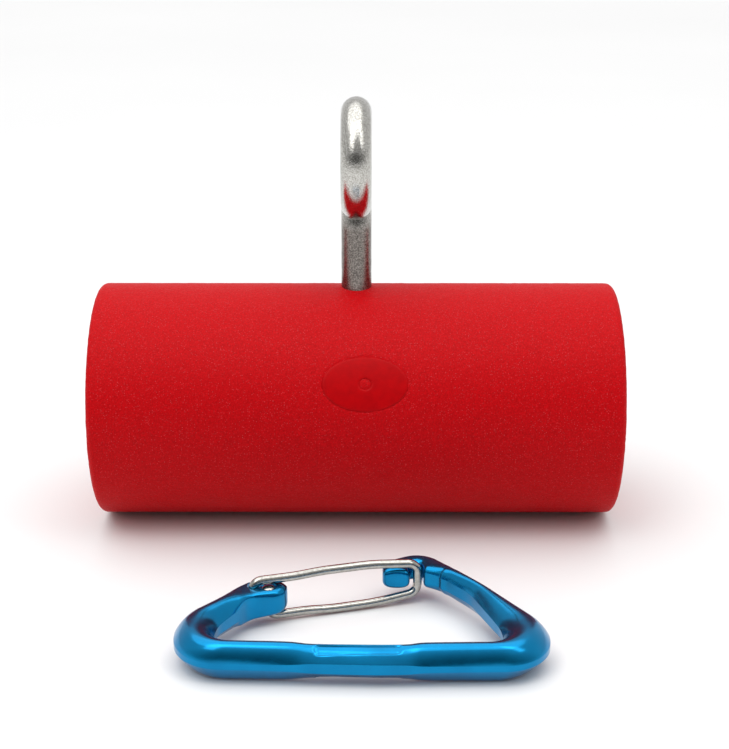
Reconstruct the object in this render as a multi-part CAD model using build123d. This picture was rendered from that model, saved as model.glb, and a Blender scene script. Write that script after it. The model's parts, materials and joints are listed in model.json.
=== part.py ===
from build123d import *
import os
from math import asin, atan2, cos, degrees, hypot, radians, sin, sqrt

# A hanging grip-training cylinder of cast resin with a steel eye bolt through its middle,
# and the wire-gate carabiner that hangs it, laid flat in front of it.
# Millimetres.  The origin is the centre of the eye, +Z is up, the grip runs along X,
# and the carabiner lies on the -Y side.

# ---- grip ----
grip_length = 155.0
grip_radius = 35.0
end_rounding = 2.0
eye_above_grip = 39.0            # eye centre above the grip's upper line
collar_diameter = 14.0           # resin lip round the shank
collar_rise = 0.5
collar_root = 6.0                # how far the lip is rooted below the grip's upper line

# ---- eye bolt ----
rod_diameter = 9.0
eye_bore = 18.0                  # free way through the eye
neck_bend = 9.0                  # radius of the bend between shank and ring
ring_gap_angle = 17.0            # the rod's tip stops this far short of the bottom, degrees
tip_chamfer = 0.8
thread_rise = 1.0                # rolled thread over rod diameter
thread_length = 30.0
thread_past_nut = 1.5

# ---- hardware inside the grip ----
seat_depth = 21.0                # counterbore, from the grip's lower line
seat_clearance = 0.5             # washer rim to counterbore
bolt_clearance = 0.2             # bolt to sleeve and washer
sleeve_diameter = 14.0
sleeve_cover = 3.0               # resin over the sleeve
washer_diameter = 30.0
washer_thickness = 2.5
nut_across_flats = 17.0
nut_height = 10.0
nut_collar_height = 3.4
nut_collar_diameter = 15.4
lock_ring_diameter = 13.4
lock_ring_height = 2.4
lock_ring_lip = 0.6              # nut metal beyond the lock ring
nut_thread_clearance = 0.05
plug_gap = 0.4                   # bolt tip to plug

# ---- badge: a plain oval, smooth, let into the front ----
badge_length = 25.0
badge_height = 16.0
badge_thickness = 0.6
badge_elevation = 26.0           # degrees above level
badge_dot = 3.2
badge_offset = 2.6               # along the grip, from its middle

# ---- carabiner, in its own plan: u along the spine, v across it towards the gate, w up ----
frame_length = 100.0             # more than the frame's length, for cuts that run past it
half_thickness = 5.3
edge_bevel = 2.0
waist_half_thickness = 4.7       # middle of the spine
waist_length = 30.0
waist_ramp = 9.0
block_half_thickness = 3.8       # hinge end of the open side
block_starts = 22.0              # v at which the frame has thinned to the block
ramp_starts = 14.0               # v at which it begins to thin
nose_half_thickness = 3.0
crown_half_thickness = 3.3       # top of the nose, reached at crown_v
crown_starts = 38.0
crown_v = 46.0
frame_points = [                         # outline once round: u, v, corner radius
    (-17.0, 27.4, 3.7),                  # block, end towards the spine
    (-27.6, 24.3, 6.0),
    (-34.9, 12.8, 9.0),
    (-36.6, 2.3, 6.3),                   # hollow, hinge corner
    (38.3, 1.7, 6.3),                    # hollow, basket corner
    (37.3, 11.5, 14.0),
    (30.3, 29.5, 18.0),
    (24.4, 36.4, 5.0),
    (18.8, 39.4, 1.0),
    (7.4, 39.4, 3.0),                    # nose tip
    (7.4, 45.3, 4.0),
    (18.9, 51.2, 7.6),                   # nose crown
    (49.5, 11.8, 12.0),
    (49.5, -5.0, 12.4),                  # basket corner
    (6.0, -5.9, 90.0),
    (-45.8, -3.8, 12.6),                 # hinge corner
    (-45.8, 14.5, 12.6),
    (-27.6, 32.7, 5.0),                  # block shoulder
    (-19.2, 35.1, 3.7),
]
spine_recess = (25.0, 3.6, 0.8)          # length, width, depth of the shallow panel in each face
spine_middle_v = -1.9

# ---- wire gate ----
gate_wire = 2.4
gate_pivot = (-22.9, 29.5)       # u, v of the leg that turns in a round hole
gate_heel = (-27.1, 29.3)        # u, v of the leg that runs in a curved slot
gate_bar = (16.9, 40.9)          # u, v of the crossbar in the nose notch
gate_swing = 35.0                # degrees that the gate opens
leg_clearance = 0.2              # wire to the flat faces of block and nose
leg_bow = 0.6                    # how much further out the legs stand in the middle
leg_bow_shares = (0.25, 0.42, 0.72)      # along the leg: bow begins, is full, begins to end
leg_easing = 12.0                # radius where a leg changes direction gently
leg_bend = 2.4
bar_bend = 2.8
pivot_clearance = 0.1
notch_clearance = 0.35
notch_reach = 3.2                # notch beyond the crossbar
flat_reach = 9.6                 # nose flats beyond the crossbar
flat_start = 24.8                # nose flats begin this far from the pivot
heel_depth = 3.0                 # heel leg's reach into the block
heel_floor_gap = 0.3
bend_relief = 0.7                # nose metal taken away inside the crossbar's bends
bore_relief = 0.9                # block metal taken away inside the legs' bends
fan_margin = 25.0                # degrees beyond the heel leg's travel, each way
rivet_diameter = 3.5             # upset end of the pivot leg
rivet_height = 0.8
rivet_gap = 0.1
rivet_seat_clearance = 0.2

# ---- how the two lie together ----
lay_gap = 24.8                   # grip's front line to the carabiner's nose

# ---- for making cuts ----
cut_past = 1.0                   # how far a cut runs past the face it goes through

# ---- worked out ----
ring_radius = (eye_bore + rod_diameter) / 2
axis_z = -(eye_above_grip + grip_radius)
grip_top = axis_z + grip_radius
ground = axis_z - grip_radius
seat_z = ground + seat_depth
thread_diameter = rod_diameter + thread_rise
bolt_bore = thread_diameter + 2 * bolt_clearance
washer_z = seat_z - washer_thickness
nut_z = washer_z - nut_height
bolt_tip_z = nut_z - thread_past_nut
plug_top_z = bolt_tip_z - plug_gap
seat_diameter = washer_diameter + 2 * seat_clearance

wire_radius = gate_wire / 2
hinge_leg_w = block_half_thickness + leg_clearance + wire_radius
bar_leg_w = nose_half_thickness + leg_clearance + wire_radius
bow_leg_w = hinge_leg_w + leg_bow
gate_reach = hypot(gate_bar[0] - gate_pivot[0], gate_bar[1] - gate_pivot[1])
gate_angle = degrees(atan2(gate_bar[1] - gate_pivot[1], gate_bar[0] - gate_pivot[0]))
heel_reach = hypot(gate_heel[0] - gate_pivot[0], gate_heel[1] - gate_pivot[1])
heel_angle = degrees(atan2(gate_heel[1] - gate_pivot[1], gate_heel[0] - gate_pivot[0]))
leg_middle_v = (gate_pivot[1] + gate_bar[1]) / 2
carabiner_tilt = degrees(asin((bow_leg_w + wire_radius - half_thickness) / leg_middle_v))


def disc(diameter, bottom, top, x=0.0, y=0.0):
    """An upright cylinder between two heights."""
    height = top - bottom
    return Pos(x, y, bottom + height / 2) * Cylinder(diameter / 2, height)


def lying_cylinder(radius, length):
    """A cylinder about the grip's axis."""
    return Pos(0, 0, axis_z) * Rot(0, 90, 0) * Cylinder(radius, length)


# ---- grip and the pieces in it ----

def badge_prism(length, height):
    """An oval prism that looks out of the grip's front at the badge's elevation."""
    reach = grip_radius * 2
    face = Rot(90 - badge_elevation, 0, 0) * extrude(Ellipse(length / 2, height / 2), reach)
    return Pos(badge_offset, 0, axis_z) * face


def badge_skin():
    """The outer layer of the grip, as thick as the badge."""
    return (lying_cylinder(grip_radius, grip_length)
            - lying_cylinder(grip_radius - badge_thickness, grip_length))


def make_badge():
    oval = badge_prism(badge_length, badge_height) & badge_skin()
    return oval - badge_prism(badge_dot, badge_dot)


def make_grip():
    body = lying_cylinder(grip_radius, grip_length)
    body = fillet(body.edges().filter_by(GeomType.CIRCLE), end_rounding)
    body += disc(collar_diameter, grip_top - collar_root, grip_top + collar_rise)
    body -= disc(rod_diameter, grip_top - sleeve_cover, grip_top + collar_root)
    body -= disc(sleeve_diameter, seat_z, grip_top - sleeve_cover)
    body -= disc(seat_diameter, ground - cut_past, seat_z)
    return body - make_badge()


def make_sleeve():
    outer = disc(sleeve_diameter, seat_z, grip_top - sleeve_cover)
    return outer - disc(bolt_bore, seat_z - cut_past, grip_top)


def make_washer():
    outer = disc(washer_diameter, washer_z, seat_z)
    return outer - disc(bolt_bore, washer_z - cut_past, seat_z + cut_past)


def nut_bore_diameter():
    return thread_diameter + 2 * nut_thread_clearance


def lock_ring_span():
    """Bottom and top of the lock ring, inside the nut's collar."""
    bottom = nut_z + lock_ring_lip
    return bottom, bottom + lock_ring_height


def make_nut():
    hexagon = RegularPolygon(nut_across_flats / sqrt(3), 6)
    hex_bottom = nut_z + nut_collar_height
    body = Pos(0, 0, hex_bottom) * extrude(hexagon, nut_height - nut_collar_height)
    corner_trim = Pos(0, 0, hex_bottom) * Cone(
        nut_across_flats / 2, nut_across_flats / 2 + nut_height, nut_height,
        align=(Align.CENTER, Align.CENTER, Align.MIN))
    body = body & corner_trim
    body += disc(nut_collar_diameter, nut_z, hex_bottom)
    bottom, top = lock_ring_span()
    body -= disc(lock_ring_diameter, bottom, top)
    return body - disc(nut_bore_diameter(), nut_z - cut_past, washer_z + cut_past)


def make_lock_ring():
    bottom, top = lock_ring_span()
    bore = disc(nut_bore_diameter(), bottom - cut_past, top + cut_past)
    return disc(lock_ring_diameter, bottom, top) - bore


def make_plug():
    blank = disc(seat_diameter, ground - cut_past, plug_top_z)
    return blank & lying_cylinder(grip_radius, grip_length)


def make_eye_bolt():
    """Rod that rises, bends back, runs over the ring and ends in front of the neck."""
    between = ring_radius + neck_bend
    neck_y = neck_bend
    neck_z = -sqrt(between ** 2 - neck_y ** 2)
    turn = atan2(neck_y, -neck_z)
    half = (radians(90) - turn) / 2
    foot = (0, 0, bolt_tip_z)
    shank_top = (0, 0, neck_z)
    neck_middle = (0, neck_y - neck_bend * cos(half), neck_z + neck_bend * sin(half))
    neck_end = (0, ring_radius * sin(turn), -ring_radius * cos(turn))
    gap = radians(ring_gap_angle)
    tip = (0, -ring_radius * sin(gap), -ring_radius * cos(gap))
    path = Wire([
        Line(foot, shank_top).edge(),
        ThreePointArc(shank_top, neck_middle, neck_end).edge(),
        ThreePointArc(neck_end, (0, 0, ring_radius), tip).edge(),
    ])
    rod = sweep(Plane(foot, z_dir=(0, 0, 1)) * Circle(rod_diameter / 2), path=path)
    ends = rod.faces().filter_by(GeomType.PLANE)
    rod = chamfer(ends.sort_by(Axis.Z)[-1].edges(), tip_chamfer)
    rod += disc(thread_diameter, bolt_tip_z, bolt_tip_z + thread_length)
    return chamfer(rod.edges().filter_by(GeomType.CIRCLE).sort_by(Axis.Z)[0], tip_chamfer)


# ---- carabiner ----

def frame_plan():
    """The frame's outline: one closed line, each corner with its own radius."""
    points = [(u, v) for u, v, radius in frame_points]
    radii = [radius for u, v, radius in frame_points]
    return make_face(FilletPolyline(*points, radius=radii, close=True))


def lay_down(shape):
    """From the plan to where it lies: resting on its spine and the gate's lower leg."""
    plan = frame_plan().bounding_box()
    rim_v = -plan.min.Y - edge_bevel
    rise = half_thickness + rim_v * sin(radians(carabiner_tilt))
    spine_y = -(grip_radius + lay_gap + plan.max.Y)
    return Pos(0, spine_y, ground + rise) * Rot(carabiner_tilt, 0, 0) * shape


def thickness_envelope():
    """Side view of the frame, carried along u: full at the spine, thinner at the open side."""
    low_v = -frame_length / 2
    half = [(low_v, half_thickness), (ramp_starts, half_thickness),
            (block_starts, block_half_thickness), (crown_starts, block_half_thickness),
            (crown_v, crown_half_thickness), (frame_length, crown_half_thickness)]
    outline = half + [(v, -w) for v, w in reversed(half)]
    side = make_face(Polyline(*[(0, v, w) for v, w in outline], close=True))
    return extrude(side, frame_length, dir=(1, 0, 0), both=True)


def waist_cuts():
    """Two shallow hollows that thin the middle of the spine, top and bottom."""
    ends = waist_length / 2
    shallow = half_thickness - waist_half_thickness
    above = half_thickness + cut_past
    outline = [(-ends - waist_ramp, half_thickness), (-ends, waist_half_thickness),
               (ends, waist_half_thickness), (ends + waist_ramp, half_thickness),
               (ends + waist_ramp, above), (-ends - waist_ramp, above)]
    side = make_face(Polyline(*[(u, 0, w) for u, w in outline], close=True))
    upper = extrude(side, ramp_starts, dir=(0, 1, 0), both=True)
    length, width, depth = spine_recess
    panel_w = half_thickness - shallow - depth
    slot = extrude(SlotOverall(length, width), depth + cut_past)
    panel = Pos(0, spine_middle_v, panel_w) * slot
    cut = upper + panel
    return cut + mirror(cut, Plane.XY)


def around_pivot(inner, outer, start, end, bottom, top):
    """A sector of a ring about the gate's pivot, from one angle to another."""
    wedge = 2 * outer
    steps = [start, (start + end) / 2, end]
    rim = [(wedge * cos(radians(a)), wedge * sin(radians(a))) for a in steps]
    sector = (Circle(outer) - Circle(inner)) & make_face(Polyline((0, 0), *rim, close=True))
    return Pos(*gate_pivot, bottom) * extrude(sector, top - bottom)


def nose_cuts():
    """The notch that the crossbar swings out of, and the flats that its legs pass over."""
    slack = wire_radius + notch_clearance
    beyond = degrees(notch_reach / gate_reach)
    deep = half_thickness + cut_past
    notch = around_pivot(gate_reach - slack, gate_reach + slack,
                         gate_angle - gate_swing, gate_angle + beyond, -deep, deep)
    flat = around_pivot(flat_start, gate_reach + slack, gate_angle - gate_swing,
                        gate_angle + degrees(flat_reach / gate_reach), nose_half_thickness, deep)
    relief = around_pivot(gate_reach - slack - bend_relief, gate_reach, gate_angle - gate_swing,
                          gate_angle + beyond, nose_half_thickness - bend_relief, deep)
    upper = flat + relief
    return notch + upper + mirror(upper, Plane.XY)


def hinge_cuts():
    """Round hole for the pivot leg, its rivet's seat, the heel leg's curved slot, and the
    room that the two bends need: a shallow sector above and a countersink below."""
    deep = half_thickness + cut_past
    bore = gate_wire + 2 * pivot_clearance
    rivet_floor = block_half_thickness - rivet_height - rivet_gap
    pivot = Pos(*gate_pivot) * Cylinder(bore / 2, 2 * deep)
    seat = disc(rivet_diameter + 2 * rivet_seat_clearance, rivet_floor, deep, *gate_pivot)
    slot_floor = block_half_thickness - heel_depth - heel_floor_gap
    slot = around_pivot(heel_reach - bore / 2, heel_reach + bore / 2,
                        heel_angle - gate_swing, heel_angle, slot_floor, deep)
    for angle in (heel_angle, heel_angle - gate_swing):
        u = gate_pivot[0] + heel_reach * cos(radians(angle))
        v = gate_pivot[1] + heel_reach * sin(radians(angle))
        slot += disc(bore, slot_floor, deep, u, v)
    fan = around_pivot(wire_radius, heel_reach, heel_angle - gate_swing - fan_margin,
                       heel_angle + fan_margin, block_half_thickness - bore_relief, deep)
    mouth = bore / 2 + bore_relief + deep - block_half_thickness
    sink = Pos(*gate_pivot, -deep) * Cone(
        mouth, bore / 2, mouth - bore / 2, align=(Align.CENTER, Align.CENTER, Align.MIN))
    return pivot + seat + slot + fan + sink


def make_carabiner():
    frame = extrude(frame_plan(), half_thickness, both=True)
    rims = frame.faces().filter_by(Axis.Z)
    frame = chamfer(rims.edges(), edge_bevel)
    frame = frame & thickness_envelope()
    frame -= waist_cuts()
    frame -= nose_cuts()
    frame -= hinge_cuts()
    return lay_down(frame)


def leg_points(start, outward):
    """Corners of one leg from its bend at the block to its bend at the crossbar."""
    def along(share):
        return [a + share * (b - a) for a, b in zip(start, gate_bar)]
    bow_begins, bow_full, bow_ends = leg_bow_shares
    return [(*start, outward * hinge_leg_w),
            (*along(bow_begins), outward * hinge_leg_w),
            (*along(bow_full), outward * bow_leg_w),
            (*along(bow_ends), outward * bow_leg_w),
            (*gate_bar, outward * bar_leg_w)]


def make_gate():
    """One bent wire: heel leg, upper leg, crossbar, lower leg, pivot leg with its rivet."""
    heel_end = (*gate_heel, block_half_thickness - heel_depth)
    rivet_bottom = block_half_thickness - rivet_height
    pivot_end = (*gate_pivot, rivet_bottom)
    upper_leg = leg_points(gate_heel, 1)
    lower_leg = leg_points(gate_pivot, -1)
    points = [heel_end, *upper_leg, *reversed(lower_leg), pivot_end]
    leg_radii = [leg_bend] + [leg_easing] * len(leg_bow_shares) + [bar_bend]
    path = FilletPolyline(*points, radius=leg_radii + leg_radii[::-1])
    wire = sweep(Plane(heel_end, z_dir=(0, 0, 1)) * Circle(wire_radius), path=path)
    rivet = disc(rivet_diameter, rivet_bottom, block_half_thickness, *gate_pivot)
    rivet = chamfer(rivet.edges().sort_by(Axis.Z)[-1], rivet_height / 2)
    return lay_down(wire + rivet)


def main():
    os.makedirs("parts", exist_ok=True)
    pieces = {
        "grip_body": make_grip(),
        "front_badge": make_badge(),
        "bolt_sleeve": make_sleeve(),
        "eye_bolt": make_eye_bolt(),
        "load_washer": make_washer(),
        "lock_nut": make_nut(),
        "nut_lock_ring": make_lock_ring(),
        "bottom_plug": make_plug(),
        "carabiner_body": make_carabiner(),
        "wire_gate": make_gate(),
    }
    for name, shape in pieces.items():
        export_step(shape, "parts/" + name + ".step")


main()
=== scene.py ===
import json
import math

import bpy
import numpy as np
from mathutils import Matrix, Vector


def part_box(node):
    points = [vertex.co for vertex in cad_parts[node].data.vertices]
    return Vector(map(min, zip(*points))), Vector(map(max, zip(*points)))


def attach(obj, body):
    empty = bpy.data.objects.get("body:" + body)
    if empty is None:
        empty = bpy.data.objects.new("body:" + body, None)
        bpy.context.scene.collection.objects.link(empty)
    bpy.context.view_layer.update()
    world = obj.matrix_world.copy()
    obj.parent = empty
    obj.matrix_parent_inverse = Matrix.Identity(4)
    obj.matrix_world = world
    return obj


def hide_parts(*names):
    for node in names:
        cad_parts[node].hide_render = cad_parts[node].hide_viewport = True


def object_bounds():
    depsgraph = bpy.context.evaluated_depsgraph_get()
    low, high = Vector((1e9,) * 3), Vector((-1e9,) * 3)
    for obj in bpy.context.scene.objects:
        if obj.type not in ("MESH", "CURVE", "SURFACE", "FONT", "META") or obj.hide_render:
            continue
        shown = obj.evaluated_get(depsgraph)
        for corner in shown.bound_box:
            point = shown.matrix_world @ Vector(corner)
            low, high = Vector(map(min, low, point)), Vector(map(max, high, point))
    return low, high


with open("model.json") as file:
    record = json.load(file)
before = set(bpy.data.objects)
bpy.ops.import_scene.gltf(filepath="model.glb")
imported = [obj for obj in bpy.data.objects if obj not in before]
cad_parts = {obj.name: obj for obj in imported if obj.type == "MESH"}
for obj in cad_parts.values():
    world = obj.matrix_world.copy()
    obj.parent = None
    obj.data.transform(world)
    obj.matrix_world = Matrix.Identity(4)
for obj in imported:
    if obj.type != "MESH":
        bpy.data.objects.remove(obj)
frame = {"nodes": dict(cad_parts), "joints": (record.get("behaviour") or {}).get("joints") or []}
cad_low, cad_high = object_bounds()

MM = 0.001
scene = bpy.context.scene
scene.view_settings.view_transform = "Standard"


# ---- meshes from grids of points ----

def lattice_value(x, y, z, seed):
    """A repeatable number from -1 to 1 for each corner of a whole-number lattice: each place
    times a large odd number, the bits mixed twice, and the lowest 24 of them kept."""
    mixed = x * 73856093 ^ y * 19349663 ^ z * 83492791 ^ seed * 2654435761
    mixed = (mixed ^ (mixed >> 13)) * 1274126177 & 0xFFFFFFFF
    mixed = (mixed ^ (mixed >> 16)) & 0xFFFFFF
    return mixed / 8388607.5 - 1.0


def grain(points, size, seed):
    """Smooth noise: lattice numbers a size apart, eased together along each axis."""
    place = points / size
    low = np.floor(place).astype(np.int64)
    ease = place - low
    ease = ease * ease * (3 - 2 * ease)
    total = np.zeros(points.shape[:-1])
    for corner in np.ndindex(2, 2, 2):
        share = np.ones(points.shape[:-1])
        for axis, side in enumerate(corner):
            share = share * (ease[..., axis] if side else 1 - ease[..., axis])
        x, y, z = (low[..., axis] + side for axis, side in enumerate(corner))
        total += share * lattice_value(x, y, z, seed)
    return total


def smooth_step(value, start, end):
    """0 before start, 1 after end, and a smooth S between."""
    share = np.clip((value - start) / (end - start), 0, 1)
    return share * share * (3 - 2 * share)


def tube_faces(rows, columns, joined):
    """Quads between neighbouring rows of a grid whose columns run round; joined grids also
    run round from the last row to the first."""
    last = rows if joined else rows - 1
    row, column = np.meshgrid(np.arange(last), np.arange(columns), indexing="ij")
    after_row = (row + 1) % rows
    after_column = (column + 1) % columns
    corners = [row * columns + column, row * columns + after_column,
               after_row * columns + after_column, after_row * columns + column]
    return np.stack(corners, -1).reshape(-1, 4)


def piece_from_grid(name, grid, joined=False):
    """A closed piece from a grid of points, rows by columns, in metres. Columns run round.
    Unless the rows are joined, each end is closed by a fan to its middle point."""
    rows, columns = grid.shape[:2]
    points = grid.reshape(-1, 3)
    quads = tube_faces(rows, columns, joined)
    fans = np.zeros((0, 3), np.int64)
    if not joined:
        ends = np.stack([grid[0].mean(0), grid[-1].mean(0)])
        points = np.concatenate([points, ends])
        around = np.arange(columns)
        ahead = (around + 1) % columns
        start = np.stack([np.full(columns, rows * columns), ahead, around], -1)
        base = (rows - 1) * columns
        end = np.stack([np.full(columns, rows * columns + 1), base + around, base + ahead], -1)
        fans = np.concatenate([start, end])
    mesh = bpy.data.meshes.new(name)
    mesh.vertices.add(len(points))
    mesh.vertices.foreach_set("co", points.astype(np.float32).ravel())
    loops = np.concatenate([quads.ravel(), fans.ravel()])
    sizes = np.concatenate([np.full(len(quads), 4), np.full(len(fans), 3)])
    mesh.loops.add(len(loops))
    mesh.loops.foreach_set("vertex_index", loops.astype(np.int32))
    mesh.polygons.add(len(sizes))
    mesh.polygons.foreach_set("loop_start", (np.cumsum(sizes) - sizes).astype(np.int32))
    mesh.polygons.foreach_set("use_smooth", np.ones(len(sizes), bool))
    mesh.update(calc_edges=True)
    mesh.validate()
    piece = bpy.data.objects.new(name, mesh)
    scene.collection.objects.link(piece)
    return piece


def rounded_line(corners, step):
    """Points along straight runs joined by tangent arcs. A corner is a place and a radius;
    the arc starts radius * tan(half the turn) before the corner and sweeps the turn."""
    places = [np.array(corner[:-1], float) for corner in corners]
    run = [places[0][None]]
    for before, corner, after in zip(places, corners[1:-1], places[2:]):
        here, radius = np.array(corner[:-1], float), corner[-1]
        into = (here - before) / np.linalg.norm(here - before)
        out = (after - here) / np.linalg.norm(after - here)
        turn = math.acos(np.clip(into @ out, -1, 1))
        side = out - into * (into @ out)
        side /= np.linalg.norm(side)
        start = here - into * radius * math.tan(turn / 2)
        count = max(3, int(turn * radius / step) + 1)
        angle = np.linspace(0, turn, count)[:, None]
        run.append(start + into * radius * np.sin(angle) + side * radius * (1 - np.cos(angle)))
    run.append(places[-1][None])
    return np.concatenate(run)


def along_line(line, spacing):
    """The same line as points an even spacing apart, with the distance to each."""
    lengths = np.concatenate([[0], np.cumsum(np.linalg.norm(np.diff(line, axis=0), axis=1))])
    count = max(2, int(round(lengths[-1] / spacing)) + 1)
    distance = np.linspace(0, lengths[-1], count)
    points = np.stack([np.interp(distance, lengths, line[:, axis])
                       for axis in range(line.shape[1])], -1)
    return points, distance


def softened(values, reach):
    """Values averaged with their neighbours under a bell curve, ends kept."""
    width = int(4 * reach)
    if width < 1:
        return values
    offset = np.arange(-width, width + 1)
    bell = np.exp(-0.5 * (offset / reach) ** 2)
    bell /= bell.sum()
    flat = values.reshape(len(values), -1)
    first = 2 * flat[:1] - flat[width:0:-1]
    last = 2 * flat[-1:] - flat[-2:-width - 2:-1]
    padded = np.concatenate([first, flat, last])
    columns = [np.convolve(padded[:, i], bell, mode="valid") for i in range(flat.shape[1])]
    return np.stack(columns, -1).reshape(values.shape)


# ---- materials ----

def new_material(name, base, metallic, roughness):
    """A Principled material with its even values on the shader's own sockets."""
    made = bpy.data.materials.new(name)
    made.use_nodes = True
    shader = made.node_tree.nodes["Principled BSDF"]
    shader.inputs["Base Color"].default_value = (*base, 1)
    shader.inputs["Metallic"].default_value = metallic
    shader.inputs["Roughness"].default_value = roughness
    return made, made.node_tree.nodes, made.node_tree.links, shader


def node(nodes, kind, **values):
    """A node of one kind with its inputs and settings filled in."""
    made = nodes.new(kind)
    for key, value in values.items():
        if key in made.inputs:
            made.inputs[key].default_value = value
        else:
            setattr(made, key, value)
    return made


def noise(nodes, links, place, scale, detail=2.0, roughness=0.5):
    """Cloudy noise in the piece's own space, so many clouds to the metre."""
    made = node(nodes, "ShaderNodeTexNoise", Scale=scale, Detail=detail, Roughness=roughness)
    links.new(place.outputs["Object"], made.inputs["Vector"])
    return made.outputs["Fac"]


def remap(nodes, links, value, low, high, new_low, new_high):
    """A value stretched from one range to another in a straight line, held at both ends."""
    made = node(nodes, "ShaderNodeMapRange")
    made.inputs["From Min"].default_value = low
    made.inputs["From Max"].default_value = high
    made.inputs["To Min"].default_value = new_low
    made.inputs["To Max"].default_value = new_high
    links.new(value, made.inputs["Value"])
    return made.outputs["Result"]


def blend_colours(nodes, links, share, first, second):
    """A colour between two; each may be a fixed colour or another node's output."""
    made = node(nodes, "ShaderNodeMix", data_type="RGBA")
    links.new(share, made.inputs["Factor"])
    first_colour, second_colour, colour = made.inputs[6], made.inputs[7], made.outputs[2]
    for socket, value in ((first_colour, first), (second_colour, second)):
        if isinstance(value, tuple):
            socket.default_value = (*value, 1)
        else:
            links.new(value, socket)
    return colour


def add_bump(nodes, links, shader, height, strength, depth, under=None):
    """Tilts the surface by a height's slope, on top of a coarser bump where one is given."""
    made = node(nodes, "ShaderNodeBump", Strength=strength, Distance=depth)
    links.new(height, made.inputs["Height"])
    if under is not None:
        links.new(under.outputs["Normal"], made.inputs["Normal"])
    links.new(made.outputs["Normal"], shader.inputs["Normal"])
    return made


def gritty_resin(name, base, deep):
    """Cast polyurethane with a fine sand texture: mottled red, specks of pale grit that
    catch the light, and two sizes of bump."""
    made, nodes, links, shader = new_material(name, base, 0.0, 0.5)
    shader.inputs["Specular IOR Level"].default_value = 0.08
    place = nodes.new("ShaderNodeTexCoord")
    mottle = remap(nodes, links, noise(nodes, links, place, 2300, 3, 0.7), 0.36, 0.64, 0, 1)
    resin = blend_colours(nodes, links, mottle, deep, base)
    specks = node(nodes, "ShaderNodeTexVoronoi", Scale=2500.0, Randomness=1.0)
    links.new(place.outputs["Object"], specks.inputs["Vector"])
    near = remap(nodes, links, specks.outputs["Distance"], 0.15, 0.4, 1, 0)
    pick = node(nodes, "ShaderNodeSeparateColor")
    links.new(specks.outputs["Color"], pick.inputs["Color"])
    chosen = remap(nodes, links, pick.outputs["Red"], 0.6, 1.0, 0, 0.27)
    grit = node(nodes, "ShaderNodeMath", operation="MULTIPLY")
    links.new(near, grit.inputs[0])
    links.new(chosen, grit.inputs[1])
    colour = blend_colours(nodes, links, grit.outputs[0], resin, (0.75, 0.2, 0.23))
    links.new(colour, shader.inputs["Base Color"])
    rough = remap(nodes, links, noise(nodes, links, place, 2500, 2), 0.3, 0.7, 0.42, 0.62)
    links.new(rough, shader.inputs["Roughness"])
    coarse = noise(nodes, links, place, 1300, 3, 0.6)
    fine = noise(nodes, links, place, 3600, 2, 0.6)
    under = add_bump(nodes, links, shader, coarse, 0.5, 0.22 * MM)
    add_bump(nodes, links, shader, fine, 0.4, 0.1 * MM, under)
    return made


def smooth_resin(name, base, deep):
    """The same resin with no grit: faint cloudiness and a soft shine."""
    made, nodes, links, shader = new_material(name, base, 0.0, 0.4)
    shader.inputs["Specular IOR Level"].default_value = 0.08
    place = nodes.new("ShaderNodeTexCoord")
    cloud = remap(nodes, links, noise(nodes, links, place, 400, 3), 0.35, 0.65, 0, 1)
    links.new(blend_colours(nodes, links, cloud, deep, base), shader.inputs["Base Color"])
    add_bump(nodes, links, shader, noise(nodes, links, place, 1500, 2), 0.12, 0.05 * MM)
    return made


def pitted_steel(name, base, deep, roughness, pit_size, pit_strength):
    """Stainless steel with shallow pits: dark specks, changing shine and a fine bump."""
    made, nodes, links, shader = new_material(name, base, 1.0, roughness)
    place = nodes.new("ShaderNodeTexCoord")
    pits = noise(nodes, links, place, 1 / pit_size, 3, 0.7)
    dark = remap(nodes, links, pits, 0.38, 0.62, 0, 1)
    links.new(blend_colours(nodes, links, dark, deep, base), shader.inputs["Base Color"])
    shine = remap(nodes, links, noise(nodes, links, place, 0.6 / pit_size, 2), 0.3, 0.7,
                  roughness * 0.7, roughness * 1.4)
    links.new(shine, shader.inputs["Roughness"])
    add_bump(nodes, links, shader, pits, pit_strength, 0.05 * MM)
    return made


def eye_bolt_steel():
    """Stainless rod: the ring is finished smooth and bright, and the shank below it is left
    duller, with its colour darkened as painted shade that stands in for the dark surroundings it
    reflects. Both are finely pitted."""
    made, nodes, links, shader = new_material("eye_bolt_stainless", (0.6, 0.59, 0.56), 1.0, 0.14)
    place = nodes.new("ShaderNodeTexCoord")
    parts = nodes.new("ShaderNodeSeparateXYZ")
    links.new(place.outputs["Object"], parts.inputs["Vector"])
    # 1 on the ring, 0 on the shank: sets the shank's real rougher shine and also its
    #                                painted-shade darker colour
    polish_and_painted_shade = remap(nodes, links, parts.outputs["Z"], -21 * MM, -15 * MM, 0, 1)
    fine = noise(nodes, links, place, 2600, 3, 0.7)
    dark = remap(nodes, links, fine, 0.4, 0.6, 0, 1)
    ring = blend_colours(nodes, links, dark, (0.34, 0.33, 0.3), (0.64, 0.63, 0.6))
    # the shank's dark colour is painted shade, standing in for the dark floor and front it
    # reflects
    shank = blend_colours(nodes, links, dark, (0.09, 0.08, 0.07), (0.3, 0.27, 0.25))
    links.new(blend_colours(nodes, links, polish_and_painted_shade, shank, ring), shader.inputs["Base Color"])
    rough = remap(nodes, links, polish_and_painted_shade, 0, 1, 0.24, 0.12)
    links.new(rough, shader.inputs["Roughness"])
    add_bump(nodes, links, shader, fine, 0.7, 0.07 * MM)
    return made


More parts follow.
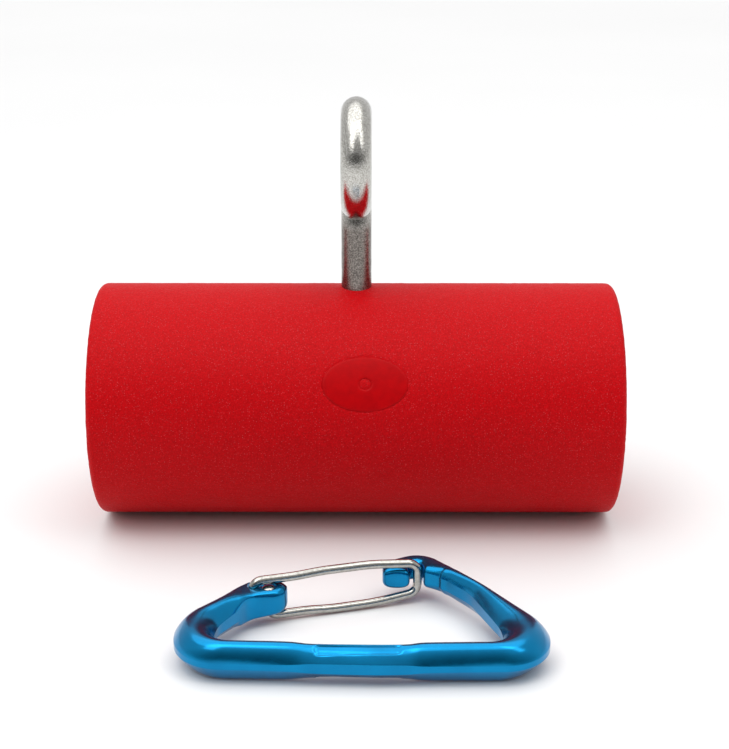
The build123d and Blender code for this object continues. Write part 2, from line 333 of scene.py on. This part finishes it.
def anodised_blue():
    """Dyed oxide over bright aluminium: deep blue metal under a hard clear skin, with faint
    drift in the dye and very fine tumbling marks."""
    made, nodes, links, shader = new_material("anodised_blue", (0.0, 0.18, 0.4), 0.92, 0.24)
    shader.inputs["Coat Weight"].default_value = 0.12
    shader.inputs["Coat Roughness"].default_value = 0.12
    place = nodes.new("ShaderNodeTexCoord")
    drift = remap(nodes, links, noise(nodes, links, place, 120, 3), 0.3, 0.7, 0, 1)
    dye = blend_colours(nodes, links, drift, (0.0, 0.18, 0.395), (0.0, 0.225, 0.48))
    links.new(dye, shader.inputs["Base Color"])
    shine = remap(nodes, links, noise(nodes, links, place, 700, 3), 0.3, 0.7, 0.18, 0.23)
    links.new(shine, shader.inputs["Roughness"])
    add_bump(nodes, links, shader, noise(nodes, links, place, 2200, 2), 0.02, 0.03 * MM)
    return made


red = (0.555, 0.0012, 0.0045)
red_deep = (0.4, 0.0006, 0.0025)
finishes = {
    "grip_resin": gritty_resin("gritty_red_resin", red, red_deep),
    "badge_resin": smooth_resin("smooth_red_resin", (0.46, 0.0, 0.002), (0.4, 0.0, 0.002)),
    "plug_resin": gritty_resin("plug_red_resin", (0.56, 0.004, 0.009), (0.46, 0.002, 0.006)),
    "bolt_steel": eye_bolt_steel(),
    "gate_steel": pitted_steel("drawn_stainless", (0.47, 0.46, 0.43), (0.36, 0.35, 0.32),
                               0.12, 0.8 * MM, 0.03),
    "zinc_steel": pitted_steel("zinc_plate", (0.7, 0.7, 0.66), (0.55, 0.55, 0.5),
                               0.28, 0.8 * MM, 0.2),
    "nylon": smooth_resin("nylon_white", (0.75, 0.76, 0.78), (0.68, 0.69, 0.71)),
    "blue_anodised": anodised_blue(),
}


def finish_piece(piece, body, slot, replaced):
    """Gives a new piece the material of its slot and parents it to its body, and hides the CAD
    node it stands for.
    """
    piece.data.materials.clear()
    piece.data.materials.append(finishes[slot])
    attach(piece, body)
    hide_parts(replaced)


# ---- the grip cylinder and its badge ----

grip_low, grip_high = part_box("grip_body")
axis_z = grip_low.z + (grip_high.y - grip_low.y) / 2
grip_radius = grip_high.y
half_length = grip_high.x
end_rounding = 2 * MM
fine_grain, fine_height = 0.9 * MM, 0.045 * MM       # size of a grain, and its height
broad_grain, broad_height = 2.2 * MM, 0.03 * MM
collar_radius, collar_rise = 7.2 * MM, 0.5 * MM
plug_sink, plug_rim = 0.5 * MM, 0.3 * MM
rod_radius = 4.5 * MM
seat_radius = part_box("bottom_plug")[1].x

badge_low, badge_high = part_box("front_badge")
badge_half_length = (badge_high.x - badge_low.x) / 2
badge_middle_x = (badge_high.x + badge_low.x) / 2
badge_centre_angle = math.radians(26)
badge_half_height = 8 * MM
badge_half_angle = math.asin(badge_half_height / grip_radius)
badge_dot = 1.6 * MM
badge_sink = 0.3 * MM
badge_flush, badge_thickness = 0.01 * MM, 0.5 * MM
badge_rim_ease = 0.06 * MM


def grip_profile(rows):
    """The cylinder's outline from one end's middle to the other's: place along the axis,
    radius, and how far the surface's normal leans from upright towards the axis. Flat ends,
    quarter circles, and a straight side."""
    flat = np.linspace(0.02, 1, 22)[:-1] * (grip_radius - end_rounding)
    end = np.full(len(flat), half_length)
    upright = np.full(len(flat), math.pi / 2)
    bend = np.linspace(0, math.pi / 2, 9)
    bend_x = half_length - end_rounding * (1 - np.sin(bend))
    bend_r = grip_radius - end_rounding * (1 - np.cos(bend))
    middle = np.linspace(-1, 1, rows)[1:-1] * (half_length - end_rounding)
    x = np.concatenate([-end, -bend_x[::-1], middle, bend_x, end])
    r = np.concatenate([flat, bend_r[::-1], np.full(len(middle), grip_radius), bend_r,
                        flat[::-1]])
    lean = np.concatenate([upright, bend[::-1], np.zeros(len(middle)), bend, upright])
    return x, r, lean


def badge_hollow(x, angle):
    """1 in the badge's oval on the front, 0 outside it and on the dot in its middle: the
    distance from the badge's middle in half lengths and half angles, softly cut off."""
    x, angle = np.meshgrid(x, angle, indexing="ij")
    along, about = x - badge_middle_x, angle - badge_centre_angle
    outward = np.hypot(along / badge_half_length, about / badge_half_angle)
    from_dot = np.hypot(along, about * grip_radius)
    on_front = (angle < math.pi / 2) & (np.abs(x) < half_length / 2)
    in_oval = (1 - smooth_step(outward, 0.96, 1.0)) * on_front
    return in_oval * smooth_step(from_dot, badge_dot, 1.1 * badge_dot)


def grip_points(rows, columns):
    """A cylinder about X: the profile turned about the axis. The grain lifts it along its
    own normal; a small collar of resin climbs the bolt's shank, and the badge's oval and the
    plug's round seat are sunk so that those pieces show."""
    x, r, lean = grip_profile(rows)
    angle = np.linspace(0, 2 * math.pi, columns, endpoint=False)
    around = np.stack([np.zeros(columns), -np.cos(angle), np.sin(angle)], -1)
    points = around[None] * r[:, None, None]
    points[..., 0] = x[:, None]
    normal = around[None] * np.cos(lean)[:, None, None]
    normal[..., 0] = (np.sign(x) * np.sin(lean))[:, None]
    lift = (fine_height * grain(points, fine_grain, 3)
            + broad_height * grain(points, broad_grain, 8))
    from_shank = np.hypot(points[..., 0], points[..., 1])
    above = points[..., 2] > 0
    collar = (1 - smooth_step(from_shank, rod_radius, collar_radius)) * above
    in_seat = (1 - smooth_step(from_shank, seat_radius - plug_rim, seat_radius)) * ~above
    lift = lift + collar_rise * collar ** 2 - plug_sink * in_seat
    lift = lift - badge_sink * badge_hollow(x, angle)
    points = points + normal * lift[..., None]
    points[..., 2] += axis_z
    return points


def badge_points(columns):
    """An oval ring laid on the cylinder: for each direction round the oval, a loop from the
    dot's edge over the top to the rim, down, and back underneath."""
    turn = np.linspace(0, 2 * math.pi, columns, endpoint=False)
    out = np.linspace(0, 1, 14)
    half_way = [badge_thickness / 2]
    share = np.concatenate([out, [1], out[::-1], [0]])
    top = np.where((out == 0) | (out == 1), badge_rim_ease, 0)
    depth = np.concatenate([top, half_way, np.full(len(out), badge_thickness), half_way])
    rim = np.stack([badge_half_length * np.cos(turn),
                    badge_half_angle * grip_radius * np.sin(turn)], -1)
    core = badge_dot * np.stack([np.cos(turn), np.sin(turn)], -1)
    flat = core[None] + (rim - core)[None] * share[:, None, None]
    angle = badge_centre_angle + flat[..., 1] / grip_radius
    radius = grip_radius - badge_flush - depth[:, None]
    return np.stack([badge_middle_x + flat[..., 0], -np.cos(angle) * radius,
                     axis_z + np.sin(angle) * radius], -1)


grip = piece_from_grid("grip_cylinder", grip_points(246, 326))
finish_piece(grip, "grip", "grip_resin", "grip_body")
badge = piece_from_grid("oval_badge", badge_points(120), joined=True)
finish_piece(badge, "grip", "badge_resin", "front_badge")


# ---- the eye bolt ----

bolt_low, bolt_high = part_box("eye_bolt")
ring_radius = bolt_high.z - rod_radius
neck_bend = 9 * MM
tip_gap = math.radians(17)
thread_pitch = 1.5 * MM
thread_length = 30 * MM
thread_height = 0.48 * MM
thread_root = -0.058 * MM        # the thread's root over the plain rod
ring_end_drop, ring_end_ease = 0.7 * MM, 0.9 * MM
foot_drop, foot_ease = 0.8 * MM, 1.2 * MM
dent_size, dent_depth = 2.6 * MM, 0.03 * MM


def ring_path():
    """Up the shank, back round the neck's bend, then round the ring over the top to its tip:
    two arcs whose centres are the sum of their radii apart."""
    neck_z = -math.sqrt((ring_radius + neck_bend) ** 2 - neck_bend ** 2)
    meet = math.atan2(neck_bend, -neck_z)
    upward = np.linspace(bolt_low.z, neck_z, 420)
    shank = np.stack([np.zeros(len(upward)), upward], -1)
    bend = np.linspace(0, math.pi / 2 - meet, 40)[1:]
    neck = np.stack([neck_bend * (1 - np.cos(bend)), neck_z + neck_bend * np.sin(bend)], -1)
    round_ring = np.linspace(meet, 2 * math.pi - tip_gap, 260)[1:]
    ring = ring_radius * np.stack([np.sin(round_ring), -np.cos(round_ring)], -1)
    return np.concatenate([shank, neck, ring])


def bolt_points(columns):
    """A circle carried along the path. Near the foot its radius follows a helix, a rounded
    zigzag of the height less the turn; at both ends it eases in to a chamfer."""
    path = ring_path()
    steps = np.linalg.norm(np.diff(path, axis=0), axis=1)
    distance = np.concatenate([[0], np.cumsum(steps)])
    ahead = np.gradient(path, axis=0)
    ahead /= np.linalg.norm(ahead, axis=1)[:, None]
    across = np.stack([ahead[:, 1], -ahead[:, 0]], -1)
    turn = np.linspace(0, 2 * math.pi, columns, endpoint=False)
    phase = distance[:, None] / thread_pitch - turn[None] / (2 * math.pi)
    ridge = np.abs(2 * (phase - np.floor(phase)) - 1)
    ridge = np.clip(1.25 * ridge - 0.12, 0, 1)
    threaded = 1 - smooth_step(distance, thread_length - 2 * thread_pitch, thread_length)
    radius = rod_radius + threaded[:, None] * (thread_height * ridge + thread_root)
    left = distance[-1] - distance
    drop = (ring_end_drop * (1 - smooth_step(left, 0, ring_end_ease))
            + foot_drop * (1 - smooth_step(distance, 0, foot_ease)))
    radius = radius - drop[:, None]
    away = np.stack([np.broadcast_to(np.cos(turn), radius.shape),
                     across[:, 0][:, None] * np.sin(turn)[None],
                     across[:, 1][:, None] * np.sin(turn)[None]], -1)
    centre = np.stack([np.zeros(len(path)), path[:, 0], path[:, 1]], -1)
    points = centre[:, None] + away * radius[..., None]
    dents = dent_depth * grain(points, dent_size, 5) * (1 - threaded[:, None])
    return points + away * (dents - dent_depth)[..., None]


bolt = piece_from_grid("bent_eye_bolt", bolt_points(72)[:, ::-1])
finish_piece(bolt, "grip", "bolt_steel", "eye_bolt")


# ---- the carabiner's own plan: u along the spine, v towards the gate, w up ----

hinge = next(joint for joint in frame["joints"] if joint["name"] == "gate_hinge")
pivot = np.array([-22.9, 29.5])
heel = np.array([-27.1, 29.3])
bar = np.array([16.9, 40.9])
hinge_place = np.array(hinge["pos_m"])
up = np.array(hinge["axis"]) / np.linalg.norm(hinge["axis"])
away_u = np.array([1.0, 0.0, 0.0])
away_v = np.cross(up, away_u)


def laid(points):
    """From the plan, in millimetres, to where the carabiner lies, in metres."""
    u = points[..., 0:1] - pivot[0]
    v = points[..., 1:2] - pivot[1]
    w = points[..., 2:3]
    return hinge_place + MM * (u * away_u + v * away_v + w * up)


# Both edges of the frame from the block's end to the nose tip: u, v, corner radius.
inner_corners = [
    (-17.0, 27.4, 0), (-27.6, 24.3, 6.0), (-34.9, 12.8, 9.0), (-36.6, 2.3, 6.3),
    (38.3, 1.7, 6.3), (37.3, 11.5, 14.0), (30.3, 29.5, 18.0), (24.4, 36.4, 5.0),
    (22.9, 37.3, 0.5), (22.9, 38.0, 0.4), (18.7, 40.2, 0.6), (17.9, 44.9, 1.3),
    (14.6, 44.0, 1.3), (14.9, 39.4, 0),
]
outer_corners = [
    (-19.2, 35.1, 0), (-27.6, 32.7, 5.0), (-45.8, 14.5, 12.6), (-45.8, -3.8, 12.6),
    (6.0, -5.9, 90.0), (49.5, -5.0, 12.4), (49.5, 11.8, 12.0), (18.9, 51.2, 7.6),
    (7.4, 45.3, 4.0), (7.4, 39.4, 0),
]
# Stations: a place on each edge that face one another, then the half thickness, half the
# height of the flat band on the sides, and how full the section is between band and crown.
stations = [
    ((-17.0, 27.4), (-19.2, 35.1), 3.75, 1.2, 0.9),
    ((-26.6, 24.6), (-27.6, 32.3), 3.8, 2.0, 2.0),
    ((-31.2, 19.0), (-35.0, 25.3), 4.85, 1.6, 0.6),
    ((-34.2, 14.0), (-42.4, 17.9), 5.15, 1.4, 0.5),
    ((-35.4, 8.6), (-45.8, 7.0), 5.25, 0.9, 0.6),
    ((-33.6, 4.0), (-42.1, -0.1), 5.3, 0.8, 0.68),
    ((-29.3, 2.3), (-34.3, -4.0), 5.3, 0.8, 0.66),
    ((-15.8, 2.1), (-16.0, -4.7), 5.2, 0.9, 0.62),
    ((-11.2, 2.0), (-11.2, -4.9), 4.6, 1.4, 0.42),
    ((0.0, 2.0), (0.0, -5.4), 4.6, 1.45, 0.42),
    ((13.2, 1.9), (13.2, -5.8), 4.6, 1.4, 0.42),
    ((16.8, 1.8), (16.8, -5.7), 5.2, 0.9, 0.62),
    ((31.4, 1.8), (36.5, -5.3), 5.3, 0.8, 0.66),
    ((36.3, 4.2), (45.9, -1.5), 5.3, 0.8, 0.68),
    ((37.6, 8.4), (49.5, 7.2), 5.25, 0.9, 0.6),
    ((36.0, 14.9), (46.6, 15.6), 5.1, 1.4, 0.5),
    ((31.0, 27.0), (37.4, 27.5), 4.7, 1.6, 0.5),
    ((24.6, 36.0), (28.6, 38.8), 4.2, 1.6, 0.7),
    ((18.9, 40.0), (23.2, 45.5), 3.4, 1.3, 1.1),
    ((17.6, 43.9), (18.6, 49.0), 3.1, 1.1, 1.1),
    ((15.6, 44.1), (13.0, 48.1), 3.0, 1.1, 1.15),
    ((14.6, 42.6), (7.9, 44.0), 3.0, 1.0, 1.15),
    ((14.9, 39.4), (7.4, 39.4), 2.95, 0.8, 1.1),
]
block_station, spine_station, nose_station = 2, 9, 19      # where each part of it stands
frame_rows, hinge_crowd, nose_crowd = 560, 2.6, 1.1        # extra rows where detail is fine
fine_step = 0.05

# The block's end: the way it points, where its rounding starts past the pivot, its length.
block_axis = np.array([0.9613, 0.2753])
round_start, round_length = 0.9, 4.2
nose_rounding = 1.5


def edge_rail(corners, marks):
    """One edge as even points, and the distance along it of each station's mark."""
    line, distance = along_line(rounded_line(corners, fine_step), fine_step)
    line = softened(line, 6)
    gaps = np.linalg.norm(line[None] - np.array(marks)[:, None], axis=2)
    where = distance[gaps.argmin(1)]
    where[0], where[-1] = 0, distance[-1]
    return line, distance, where


def row_shares():
    """Where the rows stand between stations: close together at the hinge and the nose."""
    last = len(stations) - 1
    share = np.linspace(0, last, 4001)
    crowd = (1.0 + hinge_crowd * (1 - smooth_step(share, 1.0, 2.0))
             + nose_crowd * smooth_step(share, 16.5, 18.0))
    total = np.concatenate([[0], np.cumsum((crowd[1:] + crowd[:-1]) / 2)])
    return np.interp(np.linspace(0, total[-1], frame_rows), total, share)


def bevel(columns, edge, fullness):
    """A quadratic curve from the band's edge (1, edge) drawn towards (fullness, 1) and ending
    at the crown (0, 1). Past a fullness of 1 that corner keeps its place and pulls harder."""
    along = 0.5 - 0.5 * np.cos(np.linspace(0, math.pi, columns))[None]
    corner = np.minimum(fullness, 1)[:, None]
    pull = 2 * along * (1 - along) * np.maximum(fullness, 1)[:, None] ** 2
    start, end = (1 - along) ** 2, along ** 2
    whole = start + pull + end
    return (start + pull * corner) / whole, (start * edge + pull + end) / whole


def section(columns, band, fullness, half_thickness):
    """The frame's cross-section as shares of half width and half thickness, row by row: a
    flat band on each side, a bevel above it, and a leaner one below."""
    edge = (band / half_thickness)[:, None]
    lean = 0.4 * fullness * (1 - smooth_step(fullness, 0.7, 1.2))
    x, y = bevel(columns, edge, fullness)
    under_x, under_y = bevel(columns, edge, fullness - lean)
    height = edge * np.linspace(-0.9, 0.9, 7)[None]
    side = np.ones_like(height)
    across = np.concatenate([side, x, -x[:, -2::-1], -side, -under_x, under_x[:, -2::-1]], 1)
    upward = np.concatenate([height, y, y[:, -2::-1], height[:, ::-1], -under_y,
                             -under_y[:, -2::-1]], 1)
    return across, upward


# Hollows in the frame's faces, in millimetres and degrees.
slot_opens, slot_shuts = 148, 183        # bearings of the heel leg's slot from the pivot
fan_depth, slot_depth, rivet_depth, under_depth = 0.9, 3.1, 0.9, 0.9
panel_middle, panel_reach, panel_drop = (1.0, -2.75), 9.6, 0.5


def hinge_depth(u, v):
    """The hinge's hollows seen from above: a fan between the two holes, the curved slot of
    the heel leg, and the round seat of the rivet. Each is a soft-edged distance times its
    own depth, and the deepest one counts."""
    from_pivot = np.hypot(u - pivot[0], v - pivot[1])
    bearing = np.degrees(np.arctan2(v - pivot[1], u - pivot[0])) % 360
    reach = np.hypot(*(heel - pivot))
    swing = np.abs(bearing - (slot_opens + slot_shuts) / 2)
    inside = 1 - smooth_step(from_pivot, reach - 0.1, reach + 0.3)
    fan = fan_depth * inside * (1 - smooth_step(swing, 30, 38))
    nearest = np.radians(np.clip(bearing, slot_opens, slot_shuts))
    from_slot = np.hypot(u - pivot[0] - reach * np.cos(nearest),
                         v - pivot[1] - reach * np.sin(nearest))
    slot = slot_depth * (1 - smooth_step(from_slot, 1.25, 1.5))
    seat = rivet_depth * (1 - smooth_step(from_pivot, 1.9, 2.15))
    return np.maximum(np.maximum(fan, slot), seat)


def panel_depth(u, v):
    """A shallow long panel with round ends in the middle of the spine: the distance from a
    short straight line, softly cut off."""
    past_end = np.maximum(np.abs(u - panel_middle[0]) - panel_reach, 0)
    beside = np.hypot(past_end, v - panel_middle[1])
    return panel_drop * (1 - smooth_step(beside, 1.0, 1.3))


def frame_points():
    """The carabiner's frame: the section laid between its two edges at each row. The block's
    end closes in plan along a near half circle, and the nose tip is flat with a rounded rim."""
    inner_places, outer_places, *sizes = zip(*stations)
    share = row_shares()
    index = np.arange(len(stations))
    edges = []
    for corners, places in ((inner_corners, inner_places), (outer_corners, outer_places)):
        line, run, marks = edge_rail(corners, places)
        at = softened(np.interp(share, index, marks), 3)
        at[0] = 0
        edges.append(np.stack([np.interp(at, run, line[:, i]) for i in (0, 1)], -1))
    near, far = edges
    thick, band, fullness = (softened(np.interp(share, index, size), 5) for size in sizes)
    middle, half = (near + far) / 2, (far - near) / 2
    # the block's end
    reach = (middle - pivot) @ block_axis
    into_end = np.clip((reach - round_start) / round_length, 0, 1) * (share < block_station)
    narrow = np.sqrt(np.clip(1 - into_end ** 2.1, 0, 1))
    thin = 1 - 0.3 * into_end ** 4
    # the nose tip
    to_tip = np.linalg.norm(middle - middle[-1], axis=1)
    rim = np.clip(1 - to_tip / nose_rounding, 0, 1) * (share > nose_station)
    tip = 1 - 0.36 * (1 - np.sqrt(1 - rim ** 2))
    x, y = section(28, band, fullness, thick)
    x = x * (narrow * tip)[:, None]
    y = y * (thin * tip)[:, None]
    u = middle[:, :1] + half[:, :1] * x
    v = middle[:, 1:] + half[:, 1:] * x
    w = thick[:, None] * y
    # hollows in the faces
    on_block = (share < block_station + 1)[:, None]
    on_spine = (np.abs(share - spine_station) < 2.5)[:, None]
    w = w - hinge_depth(u, v) * on_block * (w > 0.4 * thick[:, None])
    from_pivot = np.hypot(u - pivot[0], v - pivot[1])
    below = under_depth * (1 - smooth_step(from_pivot, 1.3, 2.3))
    w = w + below * on_block * (w < -0.4 * thick[:, None])
    w = w - np.sign(w) * panel_depth(u, v) * on_spine * (np.abs(w) > 0.5 * thick[:, None])
    return laid(np.stack([u, v, w], -1))


carabiner = piece_from_grid("carabiner_frame", frame_points())
finish_piece(carabiner, "carabiner", "blue_anodised", "carabiner_body")


# ---- the wire gate ----

wire_radius = 1.2
hinge_leg_w, bow_leg_w, bar_leg_w = 5.2, 5.8, 4.4        # height of a leg along its run
leg_bend, bar_bend, gentle_bend = 2.4, 2.8, 60.0
heel_end_w, rivet_w = 0.8, 3.75
rivet_swell = 0.5
bow_shares = (0.25, 0.42, 0.72)          # along a leg: the bow begins, is full, begins to end


def leg_corners(start, side):
    """One leg's corners from its bend at the block to its bend at the crossbar: a share of
    the way between the two, its height, and the radius of the bend there."""
    def along(part, w, radius):
        place = start + part * (bar - start)
        return (place[0], place[1], side * w, radius)
    begins, full, ends = bow_shares
    return [along(0, hinge_leg_w, leg_bend), along(begins, hinge_leg_w, gentle_bend),
            along(full, bow_leg_w, gentle_bend), along(ends, bow_leg_w, gentle_bend),
            along(1, bar_leg_w, bar_bend)]


def gate_points(columns):
    """A circle carried along the bent wire, with two directions across it taken from the
    gate's own sideways direction. The pivot end swells to a domed rivet."""
    corners = [(*heel, heel_end_w, 0), *leg_corners(heel, 1),
               *reversed(leg_corners(pivot, -1)), (*pivot, rivet_w, 0)]
    line, distance = along_line(rounded_line(corners, fine_step), fine_step)
    line = softened(line, 8)
    every_fifth, at_rivet = np.arange(0, len(line), 5), np.arange(len(line) - 24, len(line))
    keep = np.union1d(every_fifth, at_rivet)
    line, distance = line[keep], distance[keep]
    ahead = np.gradient(line, distance, axis=0)
    ahead /= np.linalg.norm(ahead, axis=1)[:, None]
    sideways = np.array([-(bar - pivot)[1], (bar - pivot)[0], 0.0])
    sideways /= np.linalg.norm(sideways)
    first = np.cross(ahead, sideways)
    first /= np.linalg.norm(first, axis=1)[:, None]
    second = np.cross(ahead, first)
    left = distance[-1] - distance
    heel_end = np.sqrt(1 - 0.6 * np.clip(1 - distance / 0.5, 0, 1) ** 2)
    dome = np.sqrt(1 - 0.85 * np.clip(1 - left / 0.6, 0, 1) ** 2)
    swell = rivet_swell * (1 - smooth_step(left, 0.65, 0.85))
    radius = (wire_radius * heel_end + swell) * dome
    turn = np.linspace(0, 2 * math.pi, columns, endpoint=False)
    ring = (first[:, None] * np.cos(turn)[None, :, None]
            + second[:, None] * np.sin(turn)[None, :, None])
    return laid(line[:, None] + ring * radius[:, None, None])


gate = piece_from_grid("bent_wire_gate", gate_points(48))
finish_piece(gate, "gate", "gate_steel", "wire_gate")


# ---- pieces kept as they are, with their finishes ----

for kept, slot in (("bottom_plug", "plug_resin"), ("bolt_sleeve", "zinc_steel"),
                   ("load_washer", "zinc_steel"), ("lock_nut", "zinc_steel"),
                   ("nut_lock_ring", "nylon")):
    shown = frame["nodes"][kept]
    shown.data.materials.clear()
    shown.data.materials.append(finishes[slot])


# ---- floor, light and camera ----

def floor_sheet():
    """A wide pale floor just under the lowest point."""
    reach, low = 6.0, cad_low.z - 0.1 * MM
    corners = [(x * reach, y * reach, low) for x, y in ((-1, -1), (1, -1), (1, 1), (-1, 1))]
    mesh = bpy.data.meshes.new("floor")
    mesh.from_pydata(corners, [], [(0, 1, 2, 3)])
    made = bpy.data.objects.new("floor", mesh)
    scene.collection.objects.link(made)
    paper, nodes, links, shader = new_material("white_paper", (0.9, 0.9, 0.9), 0.0, 0.7)
    place = nodes.new("ShaderNodeTexCoord")
    tone = remap(nodes, links, noise(nodes, links, place, 3, 2), 0.3, 0.7, 0, 1)
    links.new(blend_colours(nodes, links, tone, (0.77, 0.77, 0.77), (0.79, 0.79, 0.79)),
              shader.inputs["Base Color"])
    mesh.materials.append(paper)


def soft_box(name, place, target, width, height, power):
    """A square-cornered area light at a place, turned to face a target."""
    lamp = bpy.data.lights.new(name, "AREA")
    lamp.shape = "RECTANGLE"
    lamp.size, lamp.size_y = width, height
    lamp.energy = power
    made = bpy.data.objects.new(name, lamp)
    made.location = place
    made.rotation_euler = (Vector(target) - Vector(place)).to_track_quat("-Z", "Y").to_euler()
    scene.collection.objects.link(made)


def overhead_light(strength, spread, turn):
    """One very wide, soft light from above, the same at every distance."""
    lamp = bpy.data.lights.new("overhead", "SUN")
    lamp.energy = strength
    lamp.angle = math.radians(spread)
    made = bpy.data.objects.new("overhead", lamp)
    made.rotation_euler = turn
    scene.collection.objects.link(made)


def surrounding_light(low_in_front, elsewhere):
    """Soft light from all round, dim low down in front of the set: the light grows with the
    direction's distance along a line that leans back and up."""
    world = bpy.data.worlds.new("studio")
    scene.world = world
    world.use_nodes = True
    nodes, links = world.node_tree.nodes, world.node_tree.links
    toward = nodes.new("ShaderNodeTexCoord")
    lean = node(nodes, "ShaderNodeVectorMath", operation="DOT_PRODUCT")
    lean.inputs[1].default_value = (0, 1, 1.2)
    links.new(toward.outputs["Generated"], lean.inputs[0])
    strength = remap(nodes, links, lean.outputs["Value"], -0.9, 0.2, low_in_front, elsewhere)
    background = nodes["Background"]
    background.inputs["Color"].default_value = (1, 1, 1, 1)
    links.new(strength, background.inputs["Strength"])


def make_camera():
    """At the place and turn that show the set from a little above, the bolt upright."""
    focal_over_height = 2.1558
    camera = bpy.data.cameras.new("camera")
    camera.sensor_width = 36
    camera.lens = focal_over_height * camera.sensor_width
    camera.clip_start = 0.01
    made = bpy.data.objects.new("camera", camera)
    made.location = (0.00321, -0.46565, 0.09411)
    made.rotation_euler = (math.radians(90 - 19.04), 0, math.radians(0.101))
    scene.collection.objects.link(made)
    scene.camera = made


middle = (cad_low + cad_high) / 2
floor_sheet()
surrounding_light(0.03, 0.75)
overhead_light(1.65, 80, (math.radians(-6), math.radians(-6), 0))
soft_box("left_box", (-0.302, -0.416, 0.6), middle, 0.36, 0.7, 1.6)
soft_box("right_box", (0.416, -0.302, 0.6), middle, 0.2, 0.7, 0.9)
make_camera()
